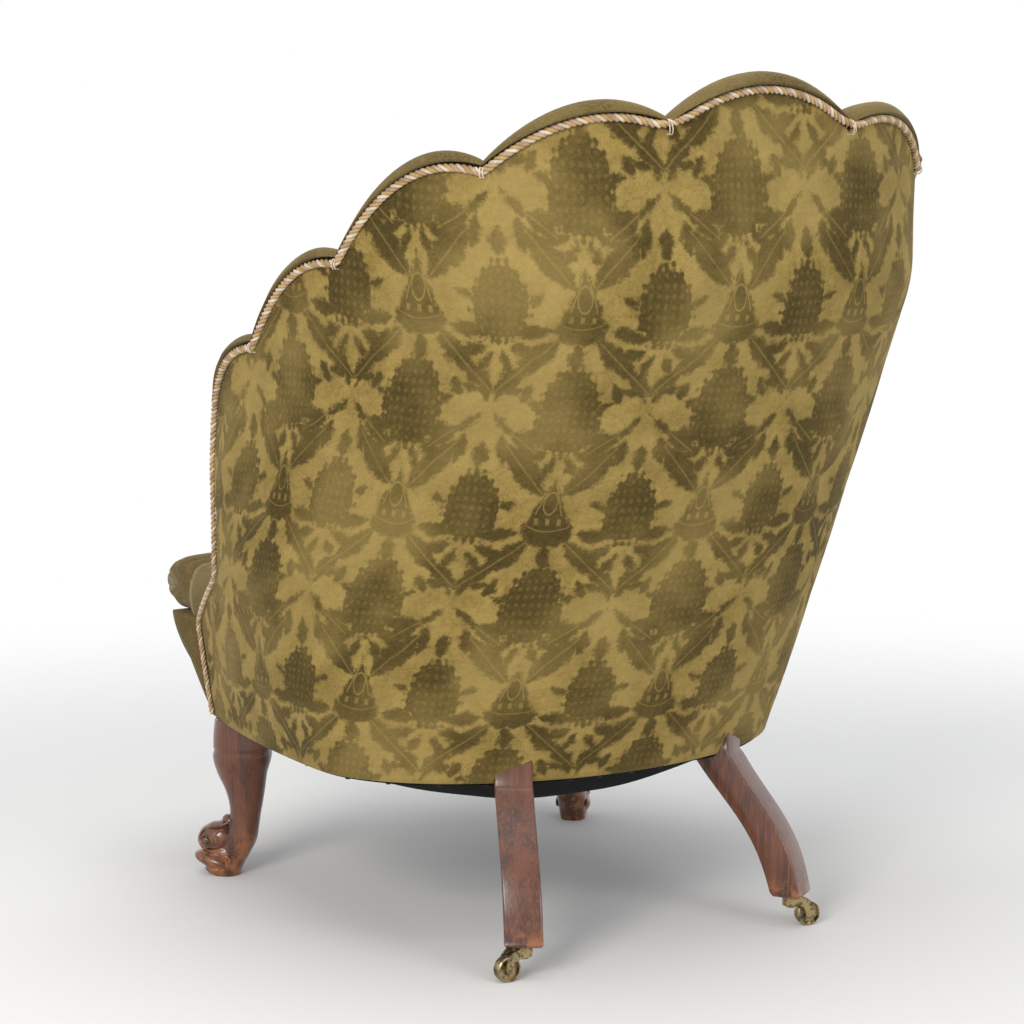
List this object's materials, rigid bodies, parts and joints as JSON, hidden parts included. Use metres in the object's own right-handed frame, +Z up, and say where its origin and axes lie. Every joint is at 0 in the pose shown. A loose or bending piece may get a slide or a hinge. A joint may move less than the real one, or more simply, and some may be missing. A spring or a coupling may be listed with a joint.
{
  "type": "scallop back chair",
  "caption": "Low tub easy chair with a scalloped channelled back, rolled seat front, twisted edging cord, carved front legs and castored sabre rear legs.",
  "frame": {"origin": "on the floor, under the middle of the whole chair", "axes": "+Z up; the sitter faces -Y; +X is the sitter's left"},
  "size_m": [0.7928, 0.8365, 0.964],
  "materials": {
    "cut_velvet": "cut velvet, dark olive pile motifs on a tan-gold ground",
    "plain_velvet": "olive-brown velvet, rubbed on the crowns",
    "twisted_cord": "twisted cord in pinkish tan and gold strands",
    "mahogany": "French-polished, worn at the edges",
    "beech": "planed, unpolished",
    "jute": "plain woven jute",
    "black_cambric": "dull black cotton",
    "horsehair": "curled hair under calico",
    "steel": "drawn wire and wood screws",
    "blued_steel": "blued tacks",
    "aged_brass": "brass, dark in the hollows and bright where it rubs"
  },
  "bodies": {
    "root": {"arm_facing_left": "plain_velvet", "arm_facing_right": "plain_velvet", "arm_post_left": "beech", "arm_post_right": "beech", "arm_rail_left": "beech", "arm_rail_right": "beech", "arm_tacking_rail_left": "beech", "arm_tacking_rail_right": "beech", "back_channel_1_left": "plain_velvet", "back_channel_1_right": "plain_velvet", "back_channel_2_left": "plain_velvet", "back_channel_2_right": "plain_velvet", "back_channel_3_left": "plain_velvet", "back_channel_3_right": "plain_velvet", "back_channel_4_left": "plain_velvet", "back_channel_4_right": "plain_velvet", "back_channel_middle": "plain_velvet", "back_hessian": "jute", "back_post_left": "beech", "back_post_right": "beech", "back_webbing": "jute", "caster_pins": "aged_brass", "caster_plates": "aged_brass", "caster_screws": "steel", "corner_block_screws": "steel", "corner_blocks": "beech", "crest_rail": "beech", "dust_cover": "black_cambric", "edge_cord": "twisted_cord", "front_leg_left": "mahogany", "front_leg_right": "mahogany", "outside_cover": "cut_velvet", "rail_dowels": "beech", "rear_leg_left": "mahogany", "rear_leg_right": "mahogany", "seat_cover": "plain_velvet", "seat_front_border": "plain_velvet", "seat_front_roll": "plain_velvet", "seat_hessian": "jute", "seat_rail_front": "beech", "seat_rail_left": "beech", "seat_rail_rear": "beech", "seat_rail_right": "beech", "seat_springs": "steel", "seat_stuffing": "horsehair", "seat_webbing": "jute", "shoulder_rail_left": "beech", "shoulder_rail_right": "beech", "side_post_left": "beech", "side_post_right": "beech", "tacking_rail_left": "beech", "tacking_rail_rear": "beech", "tacking_rail_right": "beech", "underside_tacks": "blued_steel"},
    "fork_left": {"caster_axle_left": "aged_brass", "caster_fork_left": "aged_brass"},
    "fork_right": {"caster_axle_right": "aged_brass", "caster_fork_right": "aged_brass"},
    "wheel_left": {"caster_wheel_left": "aged_brass"},
    "wheel_right": {"caster_wheel_right": "aged_brass"}
  },
  "joints": [
    {"name": "caster_left_swivel", "type": "hinge", "parent": "root", "child": "fork_left", "pos_m": [0.183, 0.239, 0.03], "axis": [0, 0, 1], "continuous": true},
    {"name": "wheel_left_roll", "type": "hinge", "parent": "fork_left", "child": "wheel_left", "pos_m": [0.20399, 0.23827, 0.014], "axis": [0.0349, 0.9994, 0], "continuous": true},
    {"name": "caster_right_swivel", "type": "hinge", "parent": "root", "child": "fork_right", "pos_m": [-0.183, 0.239, 0.03], "axis": [0, 0, 1], "continuous": true},
    {"name": "wheel_right_roll", "type": "hinge", "parent": "fork_right", "child": "wheel_right", "pos_m": [-0.20346, 0.24372, 0.014], "axis": [-0.225, -0.9744, 0], "continuous": true}
  ]
}
